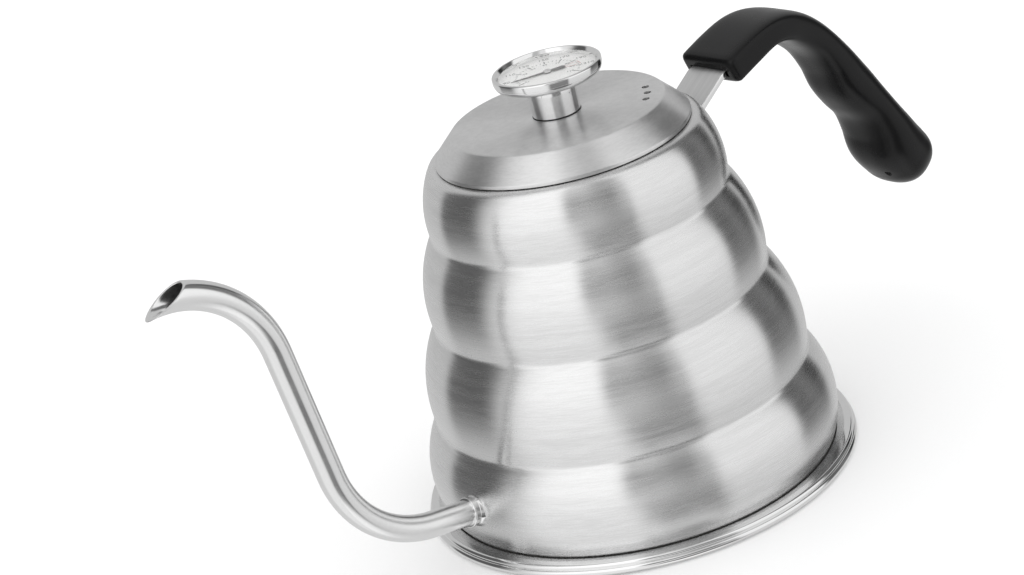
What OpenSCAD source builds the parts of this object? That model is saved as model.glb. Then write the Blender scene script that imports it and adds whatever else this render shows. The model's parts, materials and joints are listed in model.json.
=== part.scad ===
// Gooseneck kettle with a dial thermometer in the knob of its lid.
// The kettle stands on z = 0 with its axis on Z. The spout points to -X and
// the handle to +X. All sizes are in millimetres.

/* [Body] */
// Outer radius of the rolled base rim
rim_r = 75; // [73:0.5:78]
// Radius of the wall where it meets the base rim
foot_r = 68; // [67:0.5:69]
// Radius of the lowest groove
groove_low_r = 64.5; // [63.5:0.25:65.5]
// Radius of the middle groove
groove_mid_r = 57.2; // [56.5:0.1:58]
// Radius of the top groove
groove_top_r = 50.6; // [50:0.1:51.5]
// Radius of the shoulder just under the lid
shoulder_r = 45.6; // [45:0.1:46.5]
// Height of one tier of the wall
tier_h = 32.6; // [31:0.2:33]
// Height of the lowest groove above the resting surface
groove_low_z = 35.3; // [34:0.1:37]
// Height of the shoulder above the resting surface
shoulder_z = 124.2; // [123.6:0.2:125]
// Thickness of the body sheet
sheet = 0.8; // [0.6:0.1:1]

/* [Lid] */
// Outer radius of the lid
lid_r = 43.2; // [42.6:0.1:44]
// Radius of the flat top of the lid
lid_top_r = 35.9; // [34:0.1:37]
// Height of the lid from its edge to its flat top
lid_h = 8.7; // [8:0.1:10]
// Radius of the mouth that the lid skirt drops into
mouth_r = 39.5; // [39:0.1:40]
// Number of steam vents in the lid
vent_count = 3; // [1:1:5]
// Radius of one steam vent
vent_r = 1.25; // [1:0.05:1.5]

/* [Thermometer] */
// Radius of the bezel
bezel_r = 18.3; // [18:0.1:19.5]
// Height of the neck between the lid and the case
neck_h = 11.9; // [10:0.1:16]
// Outer radius of the neck
neck_r = 8.1; // [7:0.1:9]
// Height of the tip of the probe above the resting surface
probe_tip_z = 44.5; // [30:0.5:60]
// Outer radius of the probe
probe_r = 2.5; // [2.4:0.1:3]
// Turns of the bimetal coil
coil_turns = 16; // [8:1:20]

/* [Spout] */
// Outer radius of the spout tube
spout_r = 4.6; // [4.2:0.1:5]
// Wall of the spout tube
spout_wall = 0.8; // [0.6:0.1:1]
// Height of the tube's axis at the collar face
spout_z = 19.9; // [18:0.1:22]
// Distance of the collar face from the kettle's axis
collar_x = 74; // [73.5:0.1:76]
// Rise of the tube where it leaves the body, in degrees
leave_rise = 12; // [8:0.5:16]
// Rise of the tube on its long straight run, in degrees
run_rise = 82.5; // [78:0.5:88]
// Rise of the tube where the mouth is cut, in degrees
mouth_rise = 12; // [12:1:18]
// Slope of the oblique mouth, in degrees
mouth_slope = 23; // [23:1:30]

/* [Handle] */
// Width of the steel strap
strap_w = 17; // [14:0.5:20]
// Thickness of the steel strap
strap_t = 2; // [1.5:0.1:2.5]
// Slope of the grip's front block, in degrees
block_rise = 17; // [14:0.5:20]

/* [Hidden] */
$fn = 96;
eps = 0.01;                    // overlap of joined pieces

// base
floor_z = 3.4;                 // inside face of the kettle's floor
pan_z = floor_z - sheet;       // underside of the bottom pan
hem_r = 72.2;                  // edge of the sheets inside the rolled rim
core_r = 60;                   // radius of the aluminium core
cap_wall = 1;                  // side wall of the steel cap round the core
rim_z = 0.5;                   // underside of the rim
rim_low_r = 1.3;               // lower bead of the rim
rim_high_r = 1.1;              // upper bead of the rim
rim_high_z = 3.6;              // middle of the upper bead
rim_setback = 0.7;             // upper bead, behind the lower one

// wall: each tier is an arc between two grooves that bulges by its sagitta
groove_mid_z = groove_low_z + tier_h + 0.9;   // this tier is a little taller
groove_top_z = groove_mid_z + tier_h - 0.8;   // and this one a little lower
wall_foot_z = floor_z + 0.6;
tiers = [                      // [lower point, upper point, bulge]
    [[foot_r, wall_foot_z], [groove_low_r, groove_low_z], 4.4],
    [[groove_low_r, groove_low_z], [groove_mid_r, groove_mid_z], 3.5],
    [[groove_mid_r, groove_mid_z], [groove_top_r, groove_top_z], 3.3],
    [[groove_top_r, groove_top_z], [shoulder_r, shoulder_z], 2.3]];
neck_depth = 5;                // turned-down edge of the mouth

// lid
gap = 0.3;                     // gap between pieces that move apart
lid_z = shoulder_z + gap;
lid_top_z = lid_z + lid_h;
lid_lip = 1.2;                 // straight edge under the bevel
skirt_r = mouth_r - 0.5;
skirt_depth = 8.5;
flange_t = 0.8;
vent_circle_r = 30.3;
vent_step = 11.3;              // degrees between vents
vent_middle = -41;             // degrees from the handle to the middle vent

// thermometer, from the lid upwards
gasket_t = 0.4;
neck_z = lid_top_z + gasket_t;
case_z = neck_z + neck_h - gasket_t;
case_floor = 0.6;
case_wall = 0.8;
case_ledge = 1.4;              // width of the ledge under the dial plate
case_round = 1.3;              // rounded lower edge
case_r = bezel_r - 0.7;
case_step_z = case_z + 1.6;    // ledge that carries the dial plate
case_h = 2.8;
dial_t = 0.3;
dial_r = case_r - case_wall - 0.1;
dial_hole_r = 1.2;
lens_seal_t = 0.3;
lens_t = 0.8;
lens_z = case_z + case_h + lens_seal_t;
lens_r = case_r - 0.1;
bezel_lip = 0.5;
bezel_edge = 0.8;              // flat top of the bezel, outside its sloped inner face
bezel_h = 3;
bezel_z = lens_z + lens_t + bezel_lip - bezel_h;
window_r = bezel_r - 2;
hub_z = case_step_z + dial_t + 0.3;
hub_h = 0.4;
hub_r = 1.4;
pointer_t = 0.2;
pointer_tip = 12.6;
pointer_tail = 6.2;
dial_top = 56;                 // degrees anticlockwise from +X to the top of the dial
rest_bearing = dial_top + 100; // degrees anticlockwise from +X to the pointer

// thermometer stem and what clamps it
bush_r = 4.9;
bush_flange_r = 7;
bush_flange_t = 0.9;
lid_hole_r = 5;
seal_t = 1;
washer_t = 0.8;
nut_h = 4;
nut_flats = 15;
under_lid_z = lid_top_z - sheet;
nut_z = under_lid_z - seal_t - washer_t - nut_h;
probe_wall = 0.5;
probe_top_z = case_z + case_floor;
plug_h = 3;
probe_open_z = probe_tip_z + probe_r;
spindle_r = 0.5;
spindle_low_z = probe_open_z + plug_h + 0.5;
guide_clear = 0.05;
guide_h = 5;
coil_r = 1.3;
coil_strip = [0.3, 1.2];
coil_pitch = 2.2;
coil_steps = 14;

// spout: straight, bend up, straight run, bend out to the mouth
leave_len = 14;
bend_low_r = 40;
run_len = 47;
bend_high_r = 39;
bend_high_stop = -8;           // rise at which the upper bend stops, past the mouth
bend_steps = 18;               // rings in a bend
tube_sides = 24;
collar_r = 5.9;
ring_r = 5.2;
ring_w = 0.9;
spout_bore = spout_r - spout_wall;
root_len = 5.5;                // tube inside the collar and the wall
spout_start = [-collar_x, spout_z];
bend_low_start = ahead(spout_start, leave_rise, leave_len);
bend_low_centre = bend_low_start + bend_low_r * side(leave_rise);
bend_low_end = bend_low_centre - bend_low_r * side(run_rise);
bend_high_start = ahead(bend_low_end, run_rise, run_len);
bend_high_centre = bend_high_start - bend_high_r * side(run_rise);
mouth_centre = bend_high_centre + bend_high_r * side(mouth_rise);

// handle: the strap rises from the wall and ends as a tang in the grip
strap_foot = [51, 112.1];
strap_bend = [64.5, 120.4];
tang_len = 24;
foot_low_z = 102.5;
foot_high_z = 112.8;
screw_along = 15;              // from the strap's bend to the screw
screw_r = 2;
screw_head_r = 3.4;
screw_head_h = 2;
insert_r = 3;
block_half = 5;
cover_over_insert = 1.2;
tail_hole_r = 1.2;
tail_hole = [132.8, -5.5, 42];
tail_hole_depth = 14;
// grip stations: x, z, half height, half width, squareness of the section
grip = [
    [66.5, 121.4, 5.0, 13.0, 7],
    [77, 124.9, 5.0, 13.0, 7],
    [88, 128, 5.2, 13.0, 6],
    [97, 127, 6.0, 12.4, 4.5],
    [106, 121.5, 6.2, 11.4, 3.5],
    [113.5, 114, 6.2, 11.0, 3],
    [119, 105, 7.0, 11.0, 2.8],
    [123, 97, 8.6, 11.6, 2.6],
    [127, 90, 8.4, 12.4, 2.5],
    [132, 82, 7.7, 13.2, 2.4],
    [136, 73.5, 9.0, 14.2, 2.4],
    [139, 65.5, 11.0, 14.6, 2.4],
    [143.2, 59.1, 11, 14.2, 2.4]];
grip_sub = 3;                  // rings between two stations
grip_sides = 28;
grip_cap = 11.5;               // length of the rounded tail
grip_cap_rings = 7;
grip_edge = 0.9;               // softened front edge

// ---- helpers -------------------------------------------------------------

// directions in the X-Z plane for a tube that rises by `a` while it runs to -X
function along(a) = [-cos(a), sin(a)];
function side(a) = [sin(a), cos(a)];
function ahead(p, a, d) = p + d * along(a);

// centre and radius of the arc through p (lower) and q (upper) with bulge s
function chord(t) = norm(t[1] - t[0]);
function arc_r(t) = (pow(chord(t) / 2, 2) + t[2] * t[2]) / (2 * t[2]);
function arc_out(t) = let (d = (t[1] - t[0]) / chord(t)) [d[1], -d[0]];
function arc_centre(t) = (t[0] + t[1]) / 2 - (arc_r(t) - t[2]) * arc_out(t);

// Catmull-Rom value between b and c
function spline(a, b, c, d, t) = 0.5 * (2 * b + (c - a) * t
    + (2 * a - 5 * b + 4 * c - d) * t * t + (3 * b - a - 3 * c + d) * t * t * t);
function clamp(i, n) = max(0, min(n - 1, i));
function station(u) = let (n = len(grip), i = min(floor(u), n - 2), t = u - i)
    spline(grip[clamp(i - 1, n)], grip[i], grip[i + 1], grip[clamp(i + 2, n)], t);
function power(v, e) = sign(v) * pow(abs(v), e);
function grip_dir(u) = let (last = len(grip) - 1, h = 0.05,
    d = station(min(u + h, last)) - station(max(u - h, 0))) [d[0], d[1]] / norm([d[0], d[1]]);
// one ring of the grip: station u, pushed on by `push`, scaled by `k`, inset by `e`
function grip_ring(u, push, k, e) = let (s = station(u), d = grip_dir(u))
    [for (j = [0:grip_sides - 1]) let (a = 360 * j / grip_sides,
        y = (s[3] * k - e) * power(cos(a), 2 / s[4]),
        h = (s[2] * k - e) * power(sin(a), 2 / s[4]))
        [s[0] + push * d[0] - h * d[1], y, s[1] + push * d[1] + h * d[0]]];

// a plain disc or ring standing on z
module disc(r, z, h) translate([0, 0, z]) cylinder(r = r, h = h);
module ring(ro, ri, z, h) difference() {
    disc(ro, z, h);
    disc(ri, z - 1, h + 2);
}

// ---- body ----------------------------------------------------------------

// outline of everything inside the wall's outer face, set in by `inset`
module wall_area(inset) for (t = tiers) intersection() {
    translate([0, t[0][1]]) square([rim_r, t[1][1] - t[0][1]]);
    union() {
        translate(arc_centre(t)) circle(r = arc_r(t) - inset);
        translate([0, t[0][1]]) square([arc_centre(t)[0], t[1][1] - t[0][1]]);
    }
}

module body_shell() color([0.78, 0.78, 0.79]) difference() {
    union() {
        rotate_extrude() difference() {
            wall_area(0);
            wall_area(sheet);
        }
        ring(shoulder_r - 0.3, mouth_r, shoulder_z - sheet, sheet);
        ring(mouth_r + sheet, mouth_r, shoulder_z - neck_depth, neck_depth);
        ring(hem_r, foot_r - sheet - 0.4, floor_z, sheet);
    }
    spout_line();
}

module bottom_pan() color([0.72, 0.72, 0.73]) disc(hem_r, pan_z, sheet);

module base_core() color([0.82, 0.82, 0.84]) disc(core_r, sheet, pan_z - sheet);

module base_cap() color([0.74, 0.74, 0.75]) difference() {
    disc(core_r + cap_wall, 0, pan_z);
    disc(core_r, sheet, pan_z);
}

module base_rim() color([0.85, 0.85, 0.86]) rotate_extrude() difference() {
    union() {
        translate([rim_r - rim_low_r, rim_z + rim_low_r]) circle(r = rim_low_r);
        translate([rim_r - rim_setback - rim_high_r, rim_high_z]) circle(r = rim_high_r);
        translate([hem_r - 1, rim_z + 0.2])
            square([rim_r - rim_low_r - hem_r + 1, rim_high_z + rim_high_r - rim_z - 0.3]);
    }
    translate([hem_r - 2, pan_z]) square([2, 2 * sheet]);
}

// ---- spout ---------------------------------------------------------------

// straight piece of the spout from p, rising by a
module straight(p, a, length, r) translate([p[0], 0, p[1]]) rotate([0, a - 90, 0])
    cylinder(r = r, h = length);

// the space that the tube takes in the wall, the collar and the seam ring
module spout_line() straight(ahead(spout_start, leave_rise, -8), leave_rise, leave_len + 8, spout_r);

// centre line of the spout: [x, z, rise] from the root to the tip
spout_route = concat(
    [let (p = ahead(spout_start, leave_rise, -root_len)) [p[0], p[1], leave_rise]],
    [for (i = [0:bend_steps]) let (a = leave_rise + (run_rise - leave_rise) * i / bend_steps,
        p = bend_low_centre - bend_low_r * side(a)) [p[0], p[1], a]],
    [for (i = [0:bend_steps]) let (a = run_rise + (bend_high_stop - run_rise) * i / bend_steps,
        p = bend_high_centre + bend_high_r * side(a)) [p[0], p[1], a]]);

function tube_ring(c, r) = [for (j = [0:tube_sides - 1]) let (t = 360 * j / tube_sides,
    out = r * cos(t) * side(c[2])) [c[0] + out[0], r * sin(t), c[1] + out[1]]];

module swept_tube(route, ro, ri) {
    n = tube_sides;
    last = len(route) - 1;
    rings = [for (c = route) concat(tube_ring(c, ro), tube_ring(c, ri))];
    polyhedron(
        points = [for (r = rings) for (p = r) p],
        faces = concat(
            [for (i = [0:last - 1]) for (j = [0:n - 1])
                let (k = (j + 1) % n, a = 2 * n * i, b = 2 * n * (i + 1))
                each [[a + j, b + j, b + k], [a + j, b + k, a + k],
                      [a + n + j, b + n + k, b + n + j], [a + n + j, a + n + k, b + n + k]]],
            [for (j = [0:n - 1]) let (k = (j + 1) % n, e = 2 * n * last)
                each [[j, k, n + k, n + j], [e + j, e + n + j, e + n + k, e + k]]]));
}

module spout_tube() color([0.80, 0.80, 0.81]) difference() {
    swept_tube(spout_route, spout_r, spout_bore);
    translate([mouth_centre[0], 0, mouth_centre[1]]) rotate([0, -mouth_slope, 0])
        translate([-30, -15, 0]) cube([60, 30, 40]);
}

module spout_collar() color([0.74, 0.74, 0.75]) difference() {
    straight(ahead(spout_start, leave_rise, -7), leave_rise, 7 - ring_w, collar_r);
    rotate_extrude($fn = 480) wall_area(0);
    spout_line();
}

module spout_ring() color([0.9, 0.9, 0.9]) difference() {
    straight(ahead(spout_start, leave_rise, -ring_w), leave_rise, ring_w, ring_r);
    spout_line();
}

// ---- handle --------------------------------------------------------------

// flat bar in the X-Z plane from p at slope a, centred on y = 0
module bar(p, a, length, thick, width) translate([p[0], 0, p[1]]) rotate([0, -a, 0])
    translate([0, -width / 2, -thick / 2]) cube([length, width, thick]);

// place children on the tang's mid plane, with Z square to the tang
module on_tang(d) translate([strap_bend[0], 0, strap_bend[1]]) rotate([0, -block_rise, 0])
    translate([d, 0, 0]) children();

// points at half a thickness to one side (k = 1) or the other (k = -1) of the strap's middle line
function strap_edge(k) = let (p = strap_foot, q = strap_bend, u = (q - p) / norm(q - p),
    v = [cos(block_rise), sin(block_rise)], n = [-u[1], u[0]], m = [-v[1], v[0]], h = k * strap_t / 2)
    [p + h * n, q + h * (n + m) / (1 + n * m), q + tang_len * v + h * m];

module handle_strap() color([0.76, 0.76, 0.77]) {
    top = tiers[3];
    foot_span = 2 * asin((strap_w / 2 - 0.6) / groove_top_r);
    rotate([0, 0, -foot_span / 2]) rotate_extrude(angle = foot_span) intersection() {
        difference() {
            translate(arc_centre(top)) circle(r = arc_r(top) + strap_t);
            translate(arc_centre(top)) circle(r = arc_r(top));
        }
        translate([groove_top_r - 5, foot_low_z]) square([12, foot_high_z - foot_low_z]);
    }
    difference() {
        translate([0, strap_w / 2, 0]) rotate([90, 0, 0]) linear_extrude(strap_w)
            polygon(concat(strap_edge(1), [for (i = [2:-1:0]) strap_edge(-1)[i]]));
        on_tang(screw_along) translate([0, 0, -5]) cylinder(r = screw_r + 0.1, h = 10);
    }
}

module grip_body() {
    last = len(grip) - 1;
    rings = concat(
        [grip_ring(0, 0, 1, grip_edge)],
        [for (i = [0:last * grip_sub]) grip_ring(i / grip_sub, i == 0 ? grip_edge : 0, 1, 0)],
        [for (i = [1:grip_cap_rings]) let (a = 86 * i / grip_cap_rings)
            grip_ring(last, grip_cap * sin(a), cos(a), 0)]);
    count = len(rings);
    n = grip_sides;
    polyhedron(
        points = [for (r = rings) for (p = r) p],
        faces = concat(
            [[for (j = [0:n - 1]) j]],
            [[for (j = [0:n - 1]) count * n - 1 - j]],
            [for (i = [0:count - 2]) for (j = [0:n - 1]) let (k = (j + 1) % n)
                each [[i * n + j, (i + 1) * n + j, (i + 1) * n + k],
                      [i * n + j, (i + 1) * n + k, i * n + k]]]));
}

module handle_grip() color([0.12, 0.12, 0.13]) difference() {
    grip_body();
    bar(strap_bend, block_rise, tang_len, strap_t, strap_w);
    on_tang(screw_along) {
        translate([0, 0, -20]) cylinder(r = screw_head_r + 0.2, h = 20 - block_half + 2.2);
        translate([0, 0, -10]) cylinder(r = screw_r + 0.1, h = 10);
        cylinder(r = insert_r, h = block_half - cover_over_insert);
    }
    translate(tail_hole) cylinder(r = tail_hole_r, h = tail_hole_depth);
}

module grip_insert() color([0.78, 0.62, 0.3]) on_tang(screw_along) difference() {
    translate([0, 0, strap_t / 2]) cylinder(r = insert_r, h = 2.6);
    cylinder(r = screw_r, h = 10);
}

module grip_screw() color([0.7, 0.7, 0.72]) on_tang(screw_along) difference() {
    union() {
        translate([0, 0, -block_half + 2.2 - screw_head_h]) cylinder(r = screw_head_r, h = screw_head_h);
        translate([0, 0, -block_half + 1]) cylinder(r = screw_r, h = block_half + 1.8);
    }
    for (a = [0, 90]) rotate([0, 0, a]) translate([-2, -0.4, -block_half - 1]) cube([4, 0.8, 2.2]);
}

// ---- lid -----------------------------------------------------------------

module lid_cover() color([0.76, 0.76, 0.77]) difference() {
    rotate_extrude() polygon([
        [lid_r, lid_z], [lid_r, lid_z + lid_lip], [lid_top_r, lid_top_z], [0, lid_top_z],
        [0, lid_top_z - sheet], [lid_top_r - 0.4, lid_top_z - sheet],
        [lid_r - sheet, lid_z + lid_lip - 0.35], [lid_r - sheet, lid_z]]);
    disc(lid_hole_r, lid_z, lid_h + 1);
    for (i = [0:vent_count - 1])
        rotate([0, 0, vent_middle + vent_step * (i - (vent_count - 1) / 2)])
            translate([vent_circle_r, 0, lid_top_z - 2]) cylinder(r = vent_r, h = 4);
}

module lid_skirt() color([0.7, 0.7, 0.71]) union() {
    ring(skirt_r, skirt_r - sheet, lid_z - skirt_depth, skirt_depth + flange_t);
    ring(lid_r - sheet, skirt_r - sheet, lid_z, flange_t);
}

module knob_gasket() color([0.15, 0.15, 0.15]) ring(neck_r + 0.2, bush_r, lid_top_z, gasket_t);

module knob_neck() color([0.82, 0.82, 0.83]) ring(neck_r, bush_r, neck_z, case_z - neck_z);

module stem_bush() color([0.68, 0.68, 0.7]) difference() {
    union() {
        disc(bush_flange_r, probe_top_z, bush_flange_t);
        disc(bush_r, nut_z - 1, probe_top_z - nut_z + 1 + eps);
    }
    disc(probe_r, nut_z - 2, probe_top_z - nut_z + 8);
}

module seal_washer() color([0.2, 0.2, 0.2]) ring(8.5, bush_r, under_lid_z - seal_t, seal_t);

module flat_washer() color([0.7, 0.7, 0.72])
    ring(8, bush_r, under_lid_z - seal_t - washer_t, washer_t);

module lock_nut() color([0.66, 0.66, 0.68]) difference() {
    translate([0, 0, nut_z]) cylinder(r = nut_flats / sqrt(3), h = nut_h, $fn = 6);
    disc(bush_r, nut_z - 1, nut_h + 2);
}

module thermo_case() color([0.75, 0.75, 0.76]) difference() {
    rotate_extrude() union() {
        translate([0, case_z + case_round]) square([case_r, case_h - case_round]);
        translate([0, case_z]) square([case_r - case_round, case_h]);
        translate([case_r - case_round, case_z + case_round]) circle(r = case_round);
    }
    disc(case_r - case_wall - case_ledge, case_z + case_floor, case_h);
    disc(case_r - case_wall, case_step_z, case_h);
    disc(bush_r, case_z - 1, case_h);
}

module dial_plate() color([0.97, 0.97, 0.96]) ring(dial_r, dial_hole_r, case_step_z, dial_t);

module lens_gasket() color([0.25, 0.25, 0.25])
    ring(lens_r, window_r, case_z + case_h, lens_seal_t);

module lens() color([0.85, 0.92, 0.95, 0.35]) disc(lens_r, lens_z, lens_t);

module bezel_ring() color([0.86, 0.86, 0.87]) difference() {
    disc(bezel_r, bezel_z, bezel_h);
    disc(case_r, case_z, lens_z + lens_t - case_z);
    disc(window_r, case_z, case_h + 10);
    translate([0, 0, lens_z + lens_t]) cylinder(r1 = window_r, r2 = bezel_r - bezel_edge, h = bezel_lip);
}

// ---- probe ---------------------------------------------------------------

module probe_tube() color([0.78, 0.78, 0.79])
    ring(probe_r, probe_r - probe_wall, probe_open_z, probe_top_z - probe_open_z);

module probe_plug() color([0.72, 0.72, 0.74]) {
    disc(probe_r - probe_wall, probe_open_z - eps, plug_h + eps);
    translate([0, 0, probe_open_z]) intersection() {
        sphere(r = probe_r);
        translate([0, 0, -probe_r]) cylinder(r = probe_r + 1, h = probe_r);
    }
}

// flat strip wound round the spindle, standing on the plug
module bimetal_coil() color([0.8, 0.62, 0.35]) {
    low = probe_open_z + plug_h + coil_strip[1] / 2;
    steps = coil_turns * coil_steps;
    corners = [[-1, -1], [1, -1], [1, 1], [-1, 1]] / 2;
    polyhedron(
        points = [for (i = [0:steps]) let (a = 360 * i / coil_steps)
            for (c = corners) let (r = coil_r + c[0] * coil_strip[0])
                [r * cos(a), r * sin(a), low + coil_pitch * i / coil_steps + c[1] * coil_strip[1]]],
        faces = concat([[0, 1, 2, 3]], [[for (c = [3:-1:0]) 4 * steps + c]],
            [for (i = [0:steps - 1]) for (c = [0:3]) let (k = (c + 1) % 4)
                each [[4 * i + c, 4 * i + 4 + c, 4 * i + 4 + k], [4 * i + c, 4 * i + 4 + k, 4 * i + k]]]));
}

module guide_bush() color([0.8, 0.64, 0.35])
    ring(probe_r - probe_wall, spindle_r + guide_clear, probe_top_z - guide_h, guide_h);

// ---- pointer -------------------------------------------------------------

module spindle() color([0.7, 0.7, 0.7])
    disc(spindle_r, spindle_low_z, hub_z + pointer_t + hub_h / 2 - spindle_low_z);

module pointer() color([0.05, 0.05, 0.05]) rotate([0, 0, rest_bearing])
    translate([0, 0, hub_z]) difference() {
        linear_extrude(pointer_t) union() {
            circle(r = hub_r);
            polygon([
                [pointer_tip, 0], [pointer_tip - 3, 0.25], [0, 0.7], [-2.4, 1],
                [0.8 - pointer_tail, 1.3], [-pointer_tail, 0.7], [-pointer_tail, -0.7],
                [0.8 - pointer_tail, -1.3], [-2.4, -1], [0, -0.7], [pointer_tip - 3, -0.25]]);
        }
        translate([0, 0, -1]) cylinder(r = spindle_r, h = 3);
    }

module pointer_hub() color([0.75, 0.75, 0.76]) difference() {
    disc(hub_r, hub_z + pointer_t, hub_h);
    disc(spindle_r, hub_z, pointer_t + hub_h / 2);
}

body_shell();
bottom_pan();
base_core();
base_cap();
base_rim();
spout_collar();
spout_ring();
spout_tube();
handle_strap();
handle_grip();
grip_insert();
grip_screw();
lid_cover();
lid_skirt();
knob_gasket();
knob_neck();
stem_bush();
seal_washer();
flat_washer();
lock_nut();
thermo_case();
dial_plate();
lens_gasket();
lens();
bezel_ring();
probe_tube();
probe_plug();
bimetal_coil();
guide_bush();
spindle();
pointer();
pointer_hub();
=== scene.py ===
"""Looks of the gooseneck kettle: finished meshes, materials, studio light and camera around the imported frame.

Lengths in this file are millimetres and angles degrees, in the frame of the CAD part: +Z up, spout to -X,
handle to +X. mm() and the mesh builders turn them into Blender's metres.
"""

import json
import math
from itertools import accumulate

import bmesh
import bpy
from mathutils import Matrix, Vector


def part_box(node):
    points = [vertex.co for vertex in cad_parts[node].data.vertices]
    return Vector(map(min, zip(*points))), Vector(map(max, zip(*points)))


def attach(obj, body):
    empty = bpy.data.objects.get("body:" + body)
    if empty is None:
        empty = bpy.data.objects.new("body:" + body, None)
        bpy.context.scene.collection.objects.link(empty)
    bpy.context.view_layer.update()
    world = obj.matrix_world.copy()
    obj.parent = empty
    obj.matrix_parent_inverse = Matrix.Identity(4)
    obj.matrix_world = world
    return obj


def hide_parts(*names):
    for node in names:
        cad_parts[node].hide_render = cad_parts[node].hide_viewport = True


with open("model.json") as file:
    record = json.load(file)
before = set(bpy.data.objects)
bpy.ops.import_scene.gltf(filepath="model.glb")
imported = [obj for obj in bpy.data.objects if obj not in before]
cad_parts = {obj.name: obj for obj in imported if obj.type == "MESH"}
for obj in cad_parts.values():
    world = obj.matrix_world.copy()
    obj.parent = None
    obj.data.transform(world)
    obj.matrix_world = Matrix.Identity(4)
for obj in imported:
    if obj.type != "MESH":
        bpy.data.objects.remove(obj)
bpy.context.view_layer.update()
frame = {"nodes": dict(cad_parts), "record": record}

MM = 0.001
SEGMENTS = 224                  # round the body and the lid


# ---- sizes, as in the frame ---------------------------------------------------------------------

def low(node):
    """Lowest corner of a CAD node, in millimetres."""
    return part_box(node)[0] / MM


def high(node):
    """Highest corner of a CAD node, in millimetres."""
    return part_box(node)[1] / MM


SHEET = 0.8
# wall of the body: the foot, the three grooves and the shoulder as (radius, height), and how far each tier bulges
WALL_POINTS = [(68, 4), (64.5, 35.3), (57.2, 68.8), (50.6, 100.6), (45.6, 124.2)]
WALL_BULGES = [4.4, 3.5, 3.3, 2.3]
GROOVE_SOFT = 0.9               # half the height over which a groove's crease is rounded
MOUTH_R = 39.5
HEM_R, HEM_Z = 72.2, 3.4

LID_R = high("lid_cover").x
LID_Z, LID_TOP = low("lid_cover").z, high("lid_cover").z
LID_TOP_R = 35.9
LID_HOLE_R = 5
VENT_R, VENT_CIRCLE_R = 1.25, 30.3
VENT_BEARINGS = [-52.3, -41, -29.7]

NECK_R = high("knob_neck").x
CASE_Z = high("knob_neck").z
STEM_R = 4.9
BEZEL_R, BEZEL_TOP = high("bezel_ring").x, high("bezel_ring").z
DIAL_R, DIAL_Z = high("dial_plate").x, high("dial_plate").z
WINDOW_R = BEZEL_R - 2
LENS_TOP = 148.4
HUB_R, HUB_Z, HUB_TOP = high("pointer_hub").x, low("pointer_hub").z, high("pointer_hub").z
DIAL_TOP = 56                   # bearing of the dial's twelve o'clock

# spout: the collar face, and the rises of the tube along its route
SPOUT_START = Vector((-74, 19.9))
LEAVE_RISE, RUN_RISE = 12, 82.5
LEAVE_LEN, RUN_LEN, ROOT_LEN = 14, 47, 5.5
BEND_LOW_R, BEND_HIGH_R = 40, 39
MOUTH_RISE, MOUTH_SLOPE = 12, 23
SPOUT_R_LOW, SPOUT_R_HIGH = 4.4, 4.7
SPOUT_WALL = 0.8
SPOUT_HOLE_DEPTH = 12          # of the cutter that opens the wall behind the collar

# handle
STRAP_W, STRAP_T = 17, 2
STRAP_FOOT, STRAP_BEND = Vector((51, 112.1)), Vector((64.5, 120.4))
BLOCK_RISE = 17
TANG_LEN = 24
FOOT_LOW_Z, FOOT_HIGH_Z = 102.5, 112.8
TAIL_HOLE_R, TAIL_HOLE, TAIL_HOLE_DEPTH = 1.2, (132.8, -5.5, 42), 14
SCREW_ALONG, SCREW_WELL_R = 15, 3.6   # from the strap's bend to the screw, and the well round its head
# grip stations: x, z, half height, half width, squareness of the section
GRIP = [
    (66.5, 121.4, 5.0, 13.0, 7), (77, 124.9, 5.0, 13.0, 7), (88, 128, 5.2, 13.0, 6),
    (97, 127, 6.0, 12.4, 4.5), (106, 121.5, 6.2, 11.4, 3.5), (113.5, 114, 6.2, 11.0, 3),
    (119, 105, 7.0, 11.0, 2.8), (123, 97, 8.6, 11.6, 2.6), (127, 90, 8.4, 12.4, 2.5),
    (132, 82, 7.7, 13.2, 2.4), (136, 73.5, 9.0, 14.2, 2.4), (139, 65.5, 11.0, 14.6, 2.4),
    (143.2, 59.1, 11, 14.2, 2.4)]
GRIP_CAP = 11.5                 # length of the rounded tail


# ---- mesh builders ------------------------------------------------------------------------------

def mm(x, y, z):
    return Vector((x, y, z)) * MM


def turned(p, bearing):
    """The point (radius, height) turned to a bearing round Z."""
    a = math.radians(bearing)
    return mm(p[0] * math.cos(a), p[0] * math.sin(a), p[1])


def new_object(name, bm, sharp=38):
    """A smooth-shaded object from a bmesh, with creases sharper than `sharp` degrees kept."""
    bmesh.ops.remove_doubles(bm, verts=bm.verts, dist=1e-7)
    bmesh.ops.dissolve_degenerate(bm, edges=bm.edges, dist=1e-8)
    bmesh.ops.recalc_face_normals(bm, faces=bm.faces)
    mesh = bpy.data.meshes.new(name)
    bm.to_mesh(mesh)
    bm.free()
    mesh.shade_smooth()
    mesh.set_sharp_from_angle(angle=math.radians(sharp))
    obj = bpy.data.objects.new(name, mesh)
    bpy.context.scene.collection.objects.link(obj)
    return obj


def loft(name, rings, closed=False, sharp=38):
    """A skin over rings of points. It ends in flat caps, or joins its last ring to its first if closed."""
    bm = bmesh.new()
    rows = [[bm.verts.new(p) for p in ring] for ring in rings]
    n = len(rows[0])
    pairs = list(zip(rows, rows[1:])) + ([(rows[-1], rows[0])] if closed else [])
    for a, b in pairs:
        for i in range(n):
            bm.faces.new((a[i], a[(i + 1) % n], b[(i + 1) % n], b[i]))
    if not closed:
        bm.faces.new(rows[0])
        bm.faces.new(rows[-1])
    return new_object(name, bm, sharp)


def lathe(name, outline, segments=SEGMENTS, sharp=38):
    """A solid of revolution about Z from a closed outline of (radius, height)."""
    rings = [[turned(p, 360 * i / segments) for p in outline] for i in range(segments)]
    return loft(name, rings, closed=True, sharp=sharp)


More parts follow.
